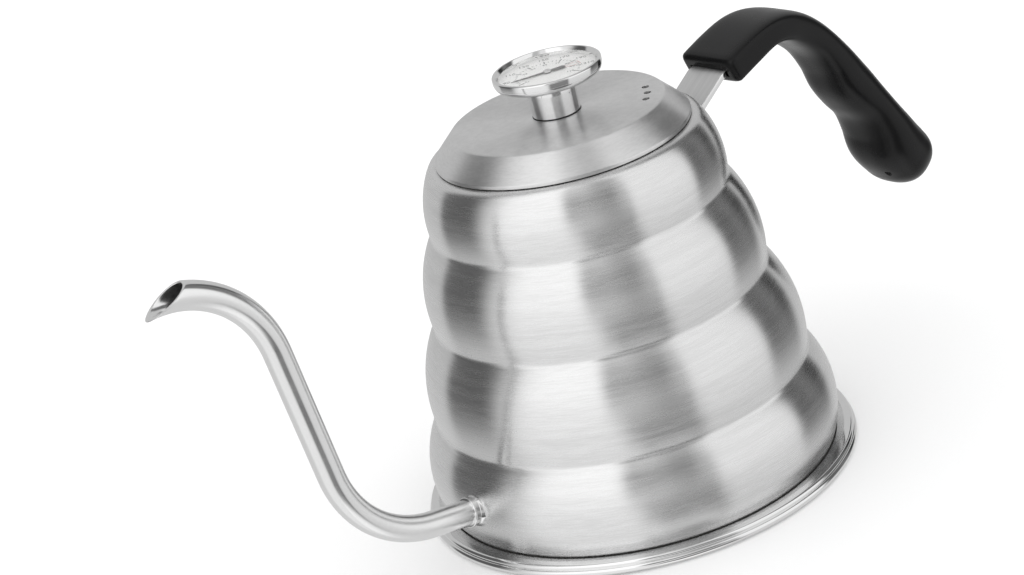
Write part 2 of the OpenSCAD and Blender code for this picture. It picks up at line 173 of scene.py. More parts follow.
def rounded(outline, steps=6):
    """A closed outline whose corners (x, y, radius) are rounded by arcs. A corner with no radius stays."""
    points = []
    for i, corner in enumerate(outline):
        p = Vector(corner[:2])
        if len(corner) < 3:
            points.append(tuple(p))
            continue
        a = (Vector(outline[i - 1][:2]) - p).normalized()
        b = (Vector(outline[(i + 1) % len(outline)][:2]) - p).normalized()
        half = a.angle(b) / 2
        centre = p + (a + b).normalized() * corner[2] / math.sin(half)
        start = p + a * corner[2] / math.tan(half) - centre
        sweep = (math.pi - 2 * half) * (1 if b.cross(a) > 0 else -1)
        for k in range(steps + 1):
            points.append(tuple(centre + Matrix.Rotation(sweep * k / steps, 2) @ start))
    return points


def tube_outline(inner, outer, bottom, top, edge):
    """Outline of a plain ring with rounded outer edges."""
    return rounded([(inner, bottom), (outer, bottom, edge), (outer, top, edge), (inner, top)])


def cut(obj, *cutters):
    """Takes the cutters out of the object and deletes them."""
    for cutter in cutters:
        modifier = obj.modifiers.new("cut", "BOOLEAN")
        modifier.object = cutter
        modifier.operation = "DIFFERENCE"
        modifier.solver = "EXACT"
        apply_modifiers(obj)
        bpy.data.objects.remove(cutter)
    obj.data.set_sharp_from_angle(angle=math.radians(38))
    return obj


def apply_modifiers(obj):
    bpy.context.view_layer.update()
    graph = bpy.context.evaluated_depsgraph_get()
    mesh = bpy.data.meshes.new_from_object(obj.evaluated_get(graph))
    obj.modifiers.clear()
    obj.data = mesh


def rod(name, radius, start, end, sides=48):
    """A plain cylinder between two points given in millimetres."""
    start, end = mm(*start), mm(*end)
    axis = (end - start).normalized()
    side = axis.orthogonal().normalized()
    other = axis.cross(side)
    angles = [2 * math.pi * i / sides for i in range(sides)]
    circle = [(side * math.cos(a) + other * math.sin(a)) * radius * MM for a in angles]
    return loft(name, [[start + c for c in circle], [end + c for c in circle]])


def bevelled(obj, width, steps=3):
    """Rounds the sharp edges of an object."""
    modifier = obj.modifiers.new("bevel", "BEVEL")
    modifier.width = width * MM
    modifier.segments = steps
    modifier.limit_method = "ANGLE"
    modifier.angle_limit = math.radians(40)
    apply_modifiers(obj)
    obj.data.shade_smooth()
    obj.data.set_sharp_from_angle(angle=math.radians(50))
    return obj


# ---- shader building blocks ---------------------------------------------------------------------

class Nodes:
    """Short calls for building a node tree."""

    def __init__(self, tree):
        self.tree = tree
        tree.nodes.clear()

    def add(self, kind, **sockets):
        """A node whose inputs are set or linked by name. Names with _ stand for spaces."""
        node = self.tree.nodes.new(kind)
        for name, value in sockets.items():
            self.put(node, name.replace("_", " "), value)
        return node

    def put(self, node, key, value):
        socket = node.inputs[key]
        if isinstance(value, bpy.types.NodeSocket):
            self.tree.links.new(value, socket)
        else:
            socket.default_value = value

    def math(self, operation, *values):
        node = self.tree.nodes.new("ShaderNodeMath")
        node.operation = operation
        for i, value in enumerate(values):
            self.put(node, i, value)
        return node.outputs[0]

    def ramp(self, value, low_in, high_in, low_out=0.0, high_out=1.0, kind="SMOOTHSTEP"):
        """The value mapped from one range to another, and held at its ends."""
        node = self.tree.nodes.new("ShaderNodeMapRange")
        node.interpolation_type = kind
        for key, item in (("Value", value), ("From Min", low_in), ("From Max", high_in),
                          ("To Min", low_out), ("To Max", high_out)):
            self.put(node, key, item)
        return node.outputs[0]

    def mix(self, factor, a, b):
        """Colour a where the factor is 0 and b where it is 1."""
        node = self.tree.nodes.new("ShaderNodeMix")
        node.data_type = "RGBA"
        self.put(node, 0, factor)
        self.put(node, 6, a)
        self.put(node, 7, b)
        return node.outputs[2]

    def place(self, scale):
        """Object coordinates in metres times a scale along each axis."""
        node = self.tree.nodes.new("ShaderNodeMapping")
        self.put(node, "Vector", self.tree.nodes.new("ShaderNodeTexCoord").outputs["Object"])
        node.inputs["Scale"].default_value = scale
        return node.outputs[0]

    def noise(self, vector, detail=3.0, roughness=0.6, scale=1.0):
        node = self.add("ShaderNodeTexNoise", Vector=vector, Scale=scale, Detail=detail, Roughness=roughness)
        return node.outputs[0]

    def bump(self, height, strength, distance):
        return self.add("ShaderNodeBump", Height=height, Strength=strength, Distance=distance).outputs[0]


def grey(v, warm=0.0):
    return (v * (1 + warm), v, v * (1 - warm), 1)


def material(name):
    """A new material, its tree and its Principled shader already wired to the output."""
    mat = bpy.data.materials.new(name)
    mat.use_nodes = True
    n = Nodes(mat.node_tree)
    shader = n.add("ShaderNodeBsdfPrincipled")
    out = n.add("ShaderNodeOutputMaterial")
    mat.node_tree.links.new(shader.outputs[0], out.inputs[0])
    return mat, n, shader


def brushed(name, tone, rough, spread, anisotropy, grain_axes, depth):
    """Brushed steel turned on Z: fine grain with scale grain_axes, colour tone and roughness rough +- spread."""
    mat, n, shader = material(name)
    fine = n.noise(n.place(grain_axes), detail=4.0, roughness=0.7)
    broad = n.noise(n.place([s * 0.17 for s in grain_axes]), detail=2.0)
    grain = n.math("ADD", n.math("MULTIPLY", fine, 0.6), n.math("MULTIPLY", broad, 0.4))
    n.put(shader, "Base Color", n.mix(n.ramp(grain, 0.35, 0.65), grey(tone * 0.93), grey(tone * 1.05)))
    n.put(shader, "Roughness", n.ramp(grain, 0.3, 0.7, rough - spread, rough + spread, "LINEAR"))
    n.put(shader, "Normal", n.bump(fine, 0.25, depth * MM))
    shader.inputs["Metallic"].default_value = 1.0
    shader.inputs["Anisotropic"].default_value = anisotropy
    if anisotropy:
        shader.inputs["Anisotropic Rotation"].default_value = 0.25
        tangent = n.add("ShaderNodeTangent")
        tangent.direction_type = "RADIAL"
        tangent.axis = "Z"
        n.put(shader, "Tangent", tangent.outputs[0])
    return mat


def polished(name, tone, rough, wear=0.04):
    """Polished metal with a faint haze where it has been wiped and handled."""
    mat, n, shader = material(name)
    haze = n.noise(n.place((160, 160, 160)), detail=5.0)
    n.put(shader, "Base Color", n.mix(haze, grey(tone * 0.97), grey(tone * 1.03)))
    n.put(shader, "Roughness", n.ramp(haze, 0.3, 0.8, rough, rough + wear, "LINEAR"))
    shader.inputs["Metallic"].default_value = 1.0
    return mat


def drawn_tube(name, tone, rough, anisotropy):
    """Satin steel tube polished round its girth. The tangent follows the tube's own UV map."""
    mat, n, shader = material(name)
    grain = n.noise(n.place((1500, 1500, 1500)), detail=3.0)
    worn = n.noise(n.place((110, 110, 110)), detail=3.0)
    n.put(shader, "Base Color", n.mix(grain, grey(tone * 0.95), grey(tone * 1.04)))
    n.put(shader, "Roughness", n.ramp(worn, 0.3, 0.75, rough, rough + 0.05, "LINEAR"))
    tangent = n.add("ShaderNodeTangent")
    tangent.direction_type = "UV_MAP"
    tangent.uv_map = "girth"
    n.put(shader, "Tangent", tangent.outputs[0])
    shader.inputs["Metallic"].default_value = 1.0
    shader.inputs["Anisotropic"].default_value = anisotropy
    shader.inputs["Anisotropic Rotation"].default_value = 0.25
    return mat


def plastic(name, colour, rough, grain, depth):
    """Moulded plastic or rubber with a fine grained skin and slightly shinier worn patches."""
    mat, n, shader = material(name)
    skin = n.noise(n.place((grain, grain, grain)), detail=2.0)
    worn = n.noise(n.place((45, 45, 45)), detail=3.0)
    n.put(shader, "Base Color", n.mix(worn, [c * 0.85 for c in colour] + [1], [c * 1.2 for c in colour] + [1]))
    n.put(shader, "Roughness", n.ramp(worn, 0.35, 0.7, rough - 0.05, rough + 0.07, "LINEAR"))
    n.put(shader, "Normal", n.bump(skin, 0.3, depth * MM))
    shader.inputs["Specular IOR Level"].default_value = 0.25
    return mat


def ink(name, colour):
    """Printing ink: flat colour with a faint mottle."""
    mat, n, shader = material(name)
    mottle = n.noise(n.place((900, 900, 900)), detail=2.0)
    n.put(shader, "Base Color", n.mix(mottle, [c * 0.85 for c in colour] + [1], [c * 1.15 for c in colour] + [1]))
    n.put(shader, "Roughness", n.ramp(mottle, 0.3, 0.7, 0.45, 0.6, "LINEAR"))
    return mat


def clear_glass(name):
    """Thin glass: lets light through straight, and mirrors more the flatter it is looked at."""
    mat = bpy.data.materials.new(name)
    mat.use_nodes = True
    n = Nodes(mat.node_tree)
    smear = n.ramp(n.noise(n.place((120, 120, 120)), detail=4.0), 0.45, 0.8, 0.01, 0.06, "LINEAR")
    through = n.add("ShaderNodeBsdfTransparent", Color=(0.99, 0.99, 0.99, 1)).outputs[0]
    mirror = n.add("ShaderNodeBsdfGlossy", Color=(1, 1, 1, 1), Roughness=smear).outputs[0]
    facing = n.add("ShaderNodeLayerWeight", Blend=0.5).outputs["Facing"]
    share = n.math("MULTIPLY_ADD", n.math("POWER", facing, 5.0), 0.96, 0.04)
    blend = n.add("ShaderNodeMixShader", Fac=share)
    n.put(blend, 1, through)
    n.put(blend, 2, mirror)
    out = n.add("ShaderNodeOutputMaterial")
    mat.node_tree.links.new(blend.outputs[0], out.inputs[0])
    return mat


AROUND = (130, 130, 2400)         # grain that runs round the kettle: long in X and Y, fine in Z
MATERIALS = {
    "brushed_body": brushed("brushed_body", 0.80, 0.265, 0.04, 0.93, AROUND, 0.02),
    "base_sheet": brushed("base_sheet", 0.66, 0.38, 0.05, 0.4, (500, 500, 500), 0.02),
    "aluminium_core": polished("aluminium_core", 0.75, 0.45),
    "polished_steel": polished("polished_steel", 0.86, 0.06),
    "satin_tube": polished("satin_tube", 0.84, 0.15, 0.06),
    "spout_satin": drawn_tube("spout_satin", 0.88, 0.20, 0.62),
    "strap_steel": brushed("strap_steel", 0.72, 0.40, 0.05, 0.0, (60, 1800, 60), 0.02),
    "grip_plastic": plastic("grip_plastic", (0.0035, 0.0035, 0.0038), 0.27, 2600, 0.015),
    "brass": polished("brass", 0.70, 0.3),
    "fastener_steel": polished("fastener_steel", 0.62, 0.3, 0.1),
    "lid_satin": brushed("lid_satin", 0.80, 0.36, 0.04, 0.88, (420, 420, 2400), 0.015),
    "black_silicone": plastic("black_silicone", (0.02, 0.02, 0.02), 0.6, 1500, 0.02),
    "case_steel": polished("case_steel", 0.84, 0.08),
    "dial_white": plastic("dial_white", (0.88, 0.88, 0.87), 0.35, 1500, 0.005),
    "lens_glass": clear_glass("lens_glass"),
    "bimetal": polished("bimetal", 0.6, 0.35),
    "pointer_black": ink("pointer_black", (0.01, 0.01, 0.01)),
    "ink_black": ink("ink_black", (0.02, 0.02, 0.02)),
    "ink_red": ink("ink_red", (0.45, 0.02, 0.03)),
    # painted shade: near-black for the rings that stand for the shadows in the gaps at the wall's foot and under the
    # lid's edge
    "painted_gap_shade": plastic("painted_gap_shade", (0.015, 0.014, 0.013), 0.7, 900, 0.05),
}


def piece(obj, body, slot, nodes=(), look=None):
    """Gives a finished mesh the material of its slot, or of the look named instead, puts it under its body, and hides
    the CAD nodes it stands for.
    """
    obj.data.materials.clear()
    obj.data.materials.append(MATERIALS[look or slot])
    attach(obj, body)
    if nodes:
        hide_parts(*nodes)
    return obj


def paint_cad_nodes():
    """Every CAD node takes the procedural material of its slot in the record."""
    for part in frame["record"]["subparts"]:
        obj = frame["nodes"][part["node"]]
        obj.data.materials.clear()
        obj.data.materials.append(MATERIALS[part["material_slot"]])


# ---- body ---------------------------------------------------------------------------------------

def tier_radius(z):
    """Radius of the unrounded wall at height z: each tier is an arc between two grooves."""
    i = next(k for k in range(len(WALL_BULGES)) if z <= WALL_POINTS[k + 1][1] or k == len(WALL_BULGES) - 1)
    p, q, bulge = Vector(WALL_POINTS[i]), Vector(WALL_POINTS[i + 1]), WALL_BULGES[i]
    chord = (q - p).length
    radius = (chord ** 2 / 4 + bulge ** 2) / (2 * bulge)
    outward = Vector((q.y - p.y, p.x - q.x)) / chord
    centre = (p + q) / 2 - (radius - bulge) * outward
    return centre.x + math.sqrt(radius ** 2 - (z - centre.y) ** 2)


def wall_radius(z):
    """Radius of the wall with its grooves rounded: the mean of the tiers over a short height."""
    steps = 8
    soft = min(GROOVE_SOFT, z - WALL_POINTS[0][1], WALL_POINTS[-1][1] - z)
    return sum(tier_radius(z + soft * (2 * k / steps - 1)) for k in range(steps + 1)) / (steps + 1)


def wall_heights():
    """Heights of the wall's rings: close together at the grooves, wider between them."""
    heights = []
    for (_, z0), (_, z1) in zip(WALL_POINTS, WALL_POINTS[1:]):
        near = [0, 0.15, 0.3, 0.5, 0.75, 1.0, 1.4]
        middle = [z0 + 2 + (z1 - z0 - 4) * k / 22 for k in range(23)]
        heights += [z0 + d for d in near] + middle + [z1 - d for d in reversed(near)]
    return heights


def make_body():
    foot_z, top_z = WALL_POINTS[0][1], WALL_POINTS[-1][1]
    shoulder = 2.8
    outer = [(wall_radius(z), z) for z in wall_heights() if z < top_z - shoulder]
    neck_low = top_z - 5
    corner = rounded([
        outer[-1], (tier_radius(top_z) - 0.1, top_z, 3.2), (MOUTH_R, top_z, 0.7), (MOUTH_R, neck_low),
        (MOUTH_R + SHEET, neck_low), (MOUTH_R + SHEET, top_z - SHEET)])[1:]
    inner = [(wall_radius(z) - SHEET, z) for z in reversed(wall_heights()) if foot_z + 0.3 < z < top_z - SHEET - 0.4]
    foot = [(WALL_POINTS[0][0] - SHEET, HEM_Z), (HEM_R, HEM_Z), (HEM_R, HEM_Z + SHEET),
            (outer[0][0] + 0.5, HEM_Z + SHEET)]
    body = lathe("body_shell_wall", outer[1:] + corner + inner + foot)
    inwards = Vector((math.cos(math.radians(LEAVE_RISE)), -math.sin(math.radians(LEAVE_RISE))))
    inside = SPOUT_START + inwards * SPOUT_HOLE_DEPTH
    hole = rod("spout_hole", SPOUT_R_LOW, (SPOUT_START.x, 0, SPOUT_START.y), (inside.x, 0, inside.y))
    piece(cut(body, hole), "kettle", "brushed_body", ["body_shell"])


def make_seams():
    """Near-black rings in the gap at the foot of the wall and in the gap under the edge of the lid: painted shade for
    the shadows in these gaps.
    """
    foot_r = WALL_POINTS[0][0]
    # painted shade: a near-black ring in the gap between the foot of the wall and the rim
    foot_shade = rounded([(foot_r - 0.4, HEM_Z + 0.6), (foot_r + 0.6, HEM_Z + 0.6), (foot_r + 0.6, HEM_Z + 1.0),
                    (foot_r - 0.4, HEM_Z + 1.0)])
    piece(lathe("foot_gap_painted_shade", foot_shade), "kettle", "base_sheet", look="painted_gap_shade")
    # painted shade: a near-black ring in the gap under the edge of the lid
    lid_shade = rounded([(LID_R - 0.9, LID_Z - 0.5), (LID_R - 0.1, LID_Z - 0.5), (LID_R - 0.1, LID_Z + 0.1),
                    (LID_R - 0.9, LID_Z + 0.1)])
    piece(lathe("lid_gap_painted_shade", lid_shade), "lid", "lid_satin", look="painted_gap_shade")


def bead(r, z, radius, first, last, steps=14):
    """Points of a bead round (r, z) from one angle to another."""
    angles = [math.radians(first + (last - first) * k / steps) for k in range(steps + 1)]
    return [(r + radius * math.cos(a), z + radius * math.sin(a)) for a in angles]


def make_rim():
    rim_r, rim_z, rim_top = high("base_rim").x, low("base_rim").z, high("base_rim").z
    low_r, high_r, setback = 1.3, 1.1, 0.7
    outline = bead(rim_r - low_r, rim_z + low_r, low_r, -90, 52)
    outline += bead(rim_r - setback - high_r, rim_top - high_r, high_r, -38, 90)
    outline += [(HEM_R - 1, rim_top), (HEM_R - 1, HEM_Z + SHEET), (HEM_R, HEM_Z + SHEET),
                (HEM_R, HEM_Z - SHEET), (HEM_R - 1, HEM_Z - SHEET), (HEM_R - 1, rim_z)]
    piece(lathe("base_rim_bead", outline), "kettle", "polished_steel", ["base_rim"])


# ---- spout --------------------------------------------------------------------------------------

def along(rise):
    a = math.radians(rise)
    return Vector((-math.cos(a), math.sin(a)))


def side(rise):
    a = math.radians(rise)
    return Vector((math.sin(a), math.cos(a)))


BEND_LOW_START = SPOUT_START + LEAVE_LEN * along(LEAVE_RISE)
BEND_LOW_CENTRE = BEND_LOW_START + BEND_LOW_R * side(LEAVE_RISE)
BEND_LOW_END = BEND_LOW_CENTRE - BEND_LOW_R * side(RUN_RISE)
BEND_HIGH_START = BEND_LOW_END + RUN_LEN * along(RUN_RISE)
BEND_HIGH_CENTRE = BEND_HIGH_START - BEND_HIGH_R * side(RUN_RISE)
SPOUT_SIDES = 56
MOUTH_BLEND_RISE = 40           # rise at which the rings start to turn towards the oblique mouth


def spout_centres():
    """(centre, rise) of the tube's rings from its root to where it turns to the mouth."""
    root = SPOUT_START - ROOT_LEN * along(LEAVE_RISE)
    rings = [(root.lerp(BEND_LOW_START, k / 6), LEAVE_RISE) for k in range(6)]
    for k in range(37):
        rise = LEAVE_RISE + (RUN_RISE - LEAVE_RISE) * k / 36
        rings.append((BEND_LOW_CENTRE - BEND_LOW_R * side(rise), rise))
    rings += [(BEND_LOW_END.lerp(BEND_HIGH_START, k / 12), RUN_RISE) for k in range(1, 12)]
    for k in range(21):
        rise = RUN_RISE + (MOUTH_BLEND_RISE - RUN_RISE) * k / 20
        rings.append((BEND_HIGH_CENTRE + BEND_HIGH_R * side(rise), rise))
    return rings


def spout_point(centre, rise, radius, turn):
    """A point of the tube's skin: turn 0 is the outside of the upper bend."""
    p = centre + radius * math.cos(turn) * side(rise)
    return mm(p.x, radius * math.sin(turn), p.y)


def mouth_rise(radius, turn):
    """Rise at which the line of the skin at this turn meets the plane of the mouth."""
    plane = BEND_HIGH_R * math.cos(math.radians(MOUTH_RISE + MOUTH_SLOPE))
    return math.degrees(math.acos(plane / (BEND_HIGH_R + radius * math.cos(turn)))) - MOUTH_SLOPE


def make_spout():
    centres = spout_centres()
    turns = [2 * math.pi * i / SPOUT_SIDES for i in range(SPOUT_SIDES)]
    lengths = list(accumulate((b[0] - a[0]).length for a, b in zip(centres, centres[1:])))
    share = [0] + [length / lengths[-1] for length in lengths]

    def skin(thinner):
        rings = []
        for (centre, rise), s in zip(centres, share):
            radius = SPOUT_R_LOW + (SPOUT_R_HIGH - SPOUT_R_LOW) * s - thinner
            rings.append([spout_point(centre, rise, radius, t) for t in turns])
        for k in range(1, 13):
            rings.append([end_point(SPOUT_R_HIGH - thinner, t, k / 12, 0) for t in turns])
        return rings

    def end_point(radius, turn, part, push):
        rise = MOUTH_BLEND_RISE + (mouth_rise(radius, turn) - MOUTH_BLEND_RISE) * part
        rise -= math.degrees(push / BEND_HIGH_R)
        return spout_point(BEND_HIGH_CENTRE + BEND_HIGH_R * side(rise), rise, radius, turn)

    lip = []
    for k in range(1, 8):
        a = math.pi * k / 8
        radius = SPOUT_R_HIGH - SPOUT_WALL / 2 * (1 - math.cos(a))
        lip.append([end_point(radius, t, 1, SPOUT_WALL / 2 * math.sin(a)) for t in turns])
    rings = skin(0) + lip + skin(SPOUT_WALL)[::-1]
    spout = loft("spout_gooseneck", rings, closed=True, sharp=60)
    add_girth_map(spout)
    piece(spout, "kettle", "satin_tube", ["spout_tube"], look="spout_satin")


def add_girth_map(spout):
    """A UV map whose first axis runs round the tube. The loft's vertices come ring by ring."""
    layer = spout.data.uv_layers.new(name="girth")
    for face in spout.data.polygons:
        turns = [spout.data.loops[i].vertex_index % SPOUT_SIDES for i in face.loop_indices]
        wraps = max(turns) - min(turns) > 1
        for i, turn in zip(face.loop_indices, turns):
            ring = spout.data.loops[i].vertex_index // SPOUT_SIDES
            layer.data[i].uv = ((turn + (SPOUT_SIDES if wraps and turn == 0 else 0)) / SPOUT_SIDES, ring / 200)


def on_spout_axis(name, outline, sides=96):
    """A solid turned on the spout's axis from (radius, distance inwards from the collar face)."""
    obj = lathe(name, outline, sides)
    lean = Matrix.Rotation(math.radians(90 + LEAVE_RISE), 4, "Y")
    obj.data.transform(Matrix.Translation(mm(SPOUT_START.x, 0, SPOUT_START.y)) @ lean)
    return obj


def make_spout_base():
    bore = SPOUT_R_LOW - 0.05
    ring = tube_outline(bore, 5.15, 0, 0.85, 0.35)
    piece(on_spout_axis("spout_seam_ring", ring), "kettle", "polished_steel", ["spout_ring"])
    boss = rounded([(bore, 0.8), (4.8, 0.8), (4.9, 2.4, 1.6), (5.9, 4.7), (5.9, 5.6), (bore, 5.6)], steps=10)
    piece(on_spout_axis("spout_boss", boss), "kettle", "brushed_body", ["spout_collar"], look="case_steel")


# ---- handle -------------------------------------------------------------------------------------

def slope(angle):
    a = math.radians(angle)
    return Vector((math.cos(a), math.sin(a)))


def make_strap():
    rise_dir, tang_dir = (STRAP_BEND - STRAP_FOOT).normalized(), slope(BLOCK_RISE)

    def edge(k):
        n, m = Vector((-rise_dir.y, rise_dir.x)), Vector((-tang_dir.y, tang_dir.x))
        h = k * STRAP_T / 2
        return [STRAP_FOOT + h * n, STRAP_BEND + h * (n + m) / (1 + n.dot(m)),
                STRAP_BEND + TANG_LEN * tang_dir + h * m]

    outline = edge(1) + edge(-1)[::-1]
    rings = [[mm(p.x, y, p.y) for p in outline] for y in (-STRAP_W / 2, STRAP_W / 2)]
    bar = bevelled(loft("handle_strap_bar", rings), 0.3)
    piece(bar, "kettle", "strap_steel", ["handle_strap"])
    bar.data.materials.append(MATERIALS["polished_steel"])
    for face in bar.data.polygons:
        face.material_index = int(abs(face.normal.y) > 0.3)
    half = math.degrees(math.asin(STRAP_W / 2 / tier_radius(FOOT_LOW_Z)))
    rings = []
    for k in range(25):
        bearing = half * (k / 12 - 1)
        heights = [FOOT_LOW_Z + (FOOT_HIGH_Z - FOOT_LOW_Z) * j / 8 for j in range(9)]
        outside = [(tier_radius(z) + STRAP_T * 0.8, z) for z in heights]
        inside = [(tier_radius(z) - 0.3, z) for z in reversed(heights)]
        rings.append([turned(p, bearing) for p in outside + inside])
    foot = bevelled(loft("handle_strap_foot", rings), 0.4)
    piece(foot, "kettle", "strap_steel")


def grip_station(u):
    """Values of the grip at station u, on a Catmull-Rom curve through the stations."""
    last = len(GRIP) - 1
    i = min(int(u), last - 1)
    t = u - i
    a, b, c, d = (GRIP[min(max(k, 0), last)] for k in (i - 1, i, i + 1, i + 2))
    return [0.5 * (2 * q + (r - p) * t + (2 * p - 5 * q + 4 * r - s) * t * t
                   + (3 * q - p - 3 * r + s) * t ** 3)
            for p, q, r, s in zip(a, b, c, d)]


def grip_edge(u, way):
    """Middle of the grip's outer (way 1) or inner (way -1) edge at station u."""
    last = len(GRIP) - 1
    x, z, half_h = grip_station(u)[:3]
    a, b = grip_station(max(u - 0.05, 0)), grip_station(min(u + 0.05, last))
    run = Vector((b[0] - a[0], b[1] - a[1])).normalized()
    return Vector((x - way * half_h * run.y, z + way * half_h * run.x))


def grip_ring(u, push=0.0, scale=1.0, inset=0.0, sides=96):
    """A ring of the grip at station u, pushed on along the grip, scaled and inset. The outer edge is evened out."""
    reach = min(1.0, u, len(GRIP) - 1 - u)
    outer = sum((grip_edge(u + reach * k / 4, 1) for k in range(-4, 5)), Vector((0, 0))) / 9
    inner = grip_edge(u, -1)
    middle, half_h = (outer + inner) / 2, (outer - inner).length / 2
    up = (outer - inner).normalized()
    way = Vector((up.y, -up.x))
    half_w, square = grip_station(u)[3:]
    ring = []
    for j in range(sides):
        t = 2 * math.pi * (j + 0.5) / sides
        c, s = math.cos(t), math.sin(t)
        y = (half_w * scale - inset) * math.copysign(abs(c) ** (2 / square), c)
        h = (half_h * scale - inset) * math.copysign(abs(s) ** (2 / square), s)
        p = middle + push * way + h * up
        ring.append(mm(p.x, y, p.y))
    return ring


def make_grip():
    last = len(GRIP) - 1
    edge, per_station, cap_rings, edge_rings = 2.2, 8, 16, 7
    rings = []
    for k in range(edge_rings):
        a = math.pi / 2 * k / edge_rings
        rings.append(grip_ring(0, edge * (1 - math.cos(a)), 1, edge * (1 - math.sin(a))))
    rings += [grip_ring(k / per_station) for k in range(3, last * per_station + 1)]
    for k in range(1, cap_rings + 1):
        a = math.radians(88 * k / cap_rings)
        rings.append(grip_ring(last, GRIP_CAP * math.sin(a), math.cos(a) ** 0.85))
    grip = loft("handle_grip_body", rings, sharp=60)
    m = Vector((-math.sin(math.radians(BLOCK_RISE)), math.cos(math.radians(BLOCK_RISE))))
    way = slope(BLOCK_RISE)
    slot_t, slot_w = STRAP_T + 0.9, STRAP_W + 1.4
    corners = [STRAP_BEND - 4 * way + m * slot_t / 2, STRAP_BEND + 9 * way + m * slot_t / 2,
               STRAP_BEND + 9 * way - m * slot_t / 2, STRAP_BEND - 4 * way - m * slot_t / 2]
    slot = loft("grip_slot", [[mm(p.x, y, p.y) for p in corners] for y in (-slot_w / 2, slot_w / 2)])
    x, y, z = TAIL_HOLE
    tail = rod("tail_hole", TAIL_HOLE_R, TAIL_HOLE, (x, y, z + TAIL_HOLE_DEPTH))
    head = STRAP_BEND + SCREW_ALONG * way
    screw = rod("screw_well", SCREW_WELL_R, tuple(Vector((head.x, 0, head.y)) - 12 * Vector((m.x, 0, m.y))),
                tuple(Vector((head.x, 0, head.y)) - 2.8 * Vector((m.x, 0, m.y))))
    piece(cut(grip, slot, tail, screw), "kettle", "grip_plastic", ["handle_grip"])


# ---- lid ----------------------------------------------------------------------------------------

def make_lid():
    outline = rounded([
        (LID_HOLE_R, LID_TOP), (LID_TOP_R, LID_TOP, 1.4), (LID_R, LID_Z + 1.2, 0.6), (LID_R, LID_Z, 0.25),
        (LID_R - SHEET, LID_Z), (LID_R - SHEET, LID_Z + 0.9), (LID_TOP_R - 0.4, LID_TOP - SHEET),
        (LID_HOLE_R, LID_TOP - SHEET)])
    lid = lathe("lid_cover_pressed", outline)
    vents = [rod("vent", VENT_R, tuple(turned((VENT_CIRCLE_R, LID_TOP - 3), b) / MM),
                 tuple(turned((VENT_CIRCLE_R, LID_TOP + 3), b) / MM), 32) for b in VENT_BEARINGS]
    piece(cut(lid, *vents), "lid", "lid_satin", ["lid_cover"])


# ---- thermometer --------------------------------------------------------------------------------

def make_knob():
    seal_top = LID_TOP + 0.3
    seal = tube_outline(STEM_R, NECK_R + 0.1, LID_TOP, seal_top, 0.1)
    piece(lathe("knob_seal", seal, 96), "lid", "black_silicone", ["knob_gasket"])
    neck = tube_outline(STEM_R, NECK_R, seal_top, CASE_Z, 0.25)
    piece(lathe("knob_neck_tube", neck, 96), "lid", "polished_steel", ["knob_neck"])
    case_top = BEZEL_TOP - 2.2
    case = rounded([(STEM_R, CASE_Z), (BEZEL_R - 0.15, CASE_Z, 2.0), (BEZEL_R - 0.15, case_top),
                    (BEZEL_R - 1.6, case_top), (BEZEL_R - 1.6, CASE_Z + 0.6), (STEM_R, CASE_Z + 0.6)], steps=10)
    piece(lathe("thermo_case_cup", case, 160), "lid", "case_steel", ["thermo_case"])
    bezel = rounded([(BEZEL_R, case_top, 0.12), (BEZEL_R, BEZEL_TOP, 0.6), (BEZEL_R - 1, BEZEL_TOP, 0.2),
                     (WINDOW_R, LENS_TOP, 0.2), (WINDOW_R, DIAL_Z + 0.02), (BEZEL_R - 1.2, DIAL_Z + 0.02),
                     (BEZEL_R - 1.2, case_top)], steps=8)
    piece(lathe("bezel_band", bezel, 160), "lid", "polished_steel", ["bezel_ring", "lens_gasket"])
    lens = rounded([(0, HUB_TOP + 0.05), (WINDOW_R, HUB_TOP + 0.05), (WINDOW_R, LENS_TOP), (0, LENS_TOP)])
    piece(lathe("dial_window", lens, 96), "lid", "lens_glass", ["lens"])


def dial_way(degrees):
    """Unit vector from the dial's centre at a clockwise angle from twelve o'clock."""
    a = math.radians(DIAL_TOP - degrees)
    return Vector((math.cos(a), math.sin(a)))


def stroke(bm, a, b, width_a, width_b, bottom, top):
    """A flat printed stroke between two points of the dial."""
    across = Vector((-(b - a).y, (b - a).x)).normalized()
    corners = [a - across * width_a / 2, b - across * width_b / 2, b + across * width_b / 2, a + across * width_a / 2]
    lower = [bm.verts.new(mm(p.x, p.y, bottom)) for p in corners]
    upper = [bm.verts.new(mm(p.x, p.y, top)) for p in corners]
    bm.faces.new(lower)
    bm.faces.new(upper)
    for i in range(4):
        bm.faces.new((lower[i], lower[(i + 1) % 4], upper[(i + 1) % 4], upper[i]))


def number(text, size, centre, top):
    """Upright figures printed on the dial, as a mesh."""
    curve = bpy.data.curves.new("figure", "FONT")
    curve.body = text
    curve.size = size * MM
    curve.extrude = 0.01 * MM
    curve.align_x, curve.align_y = "CENTER", "CENTER"
    curve.resolution_u = 3
    obj = bpy.data.objects.new("figure", curve)
    bpy.context.scene.collection.objects.link(obj)
    apply = obj.to_mesh().copy()
    apply.transform(Matrix.Translation(mm(centre.x, centre.y, top)) @ Matrix.Rotation(
        math.radians(DIAL_TOP - 90), 4, "Z"))
    bpy.data.objects.remove(obj)
    return apply


